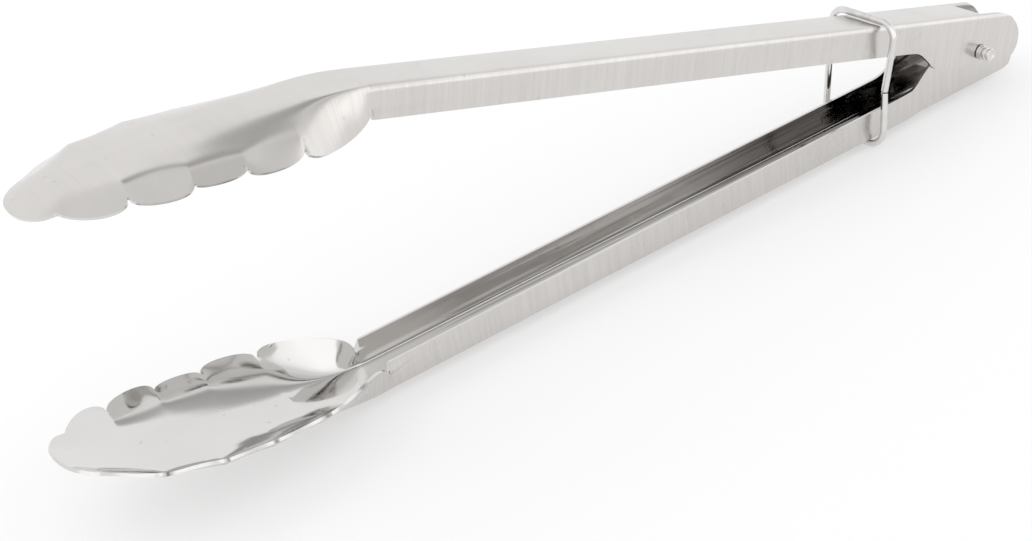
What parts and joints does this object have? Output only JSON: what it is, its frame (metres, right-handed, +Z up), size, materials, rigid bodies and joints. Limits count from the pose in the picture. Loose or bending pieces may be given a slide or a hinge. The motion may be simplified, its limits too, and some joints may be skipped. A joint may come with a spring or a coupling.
{
  "type": "kitchen tongs",
  "caption": "Spring-loaded kitchen tongs: pressed sheet-steel channel arms with dished, scalloped heads, hinged on a pin and held by a sliding wire ring.",
  "frame": {"origin": "middle of the underside at rest, below the middle of the tongs' length and width", "axes": "+X from the tips towards the hinge, +Y along the hinge pin away from its stepped end, +Z up"},
  "size_m": [0.3088, 0.0408, 0.0846],
  "materials": {
    "arm_steel": "brushed outer faces, polished heads and inner faces",
    "wire_steel": "bright drawn wire",
    "pin_steel": "turned",
    "spring_steel": "dull drawn wire"
  },
  "bodies": {
    "lower": {"lower_arm": "arm_steel", "hinge_pin": "pin_steel", "arm_spring": "spring_steel"},
    "upper": {"upper_arm": "arm_steel"},
    "ring": {"lock_ring": "wire_steel"}
  },
  "joints": [
    {"name": "arm_hinge", "type": "hinge", "parent": "lower", "child": "upper", "pos_m": [0.13685, 0, 0.01343], "axis": [0, 1, 0], "range_deg": [-11, 0], "stiffness_Nm_per_rad": 1.2, "springref_deg": 20.05, "deforming": ["arm_spring"]},
    {"name": "ring_slide", "type": "slide", "parent": "lower", "child": "ring", "axis": [-1, 0, 0], "range_m": [0, 0.034]}
  ],
  "couplings": [
    {"joint": "ring_slide", "follows": "arm_hinge", "m_per_rad": -0.17}
  ]
}
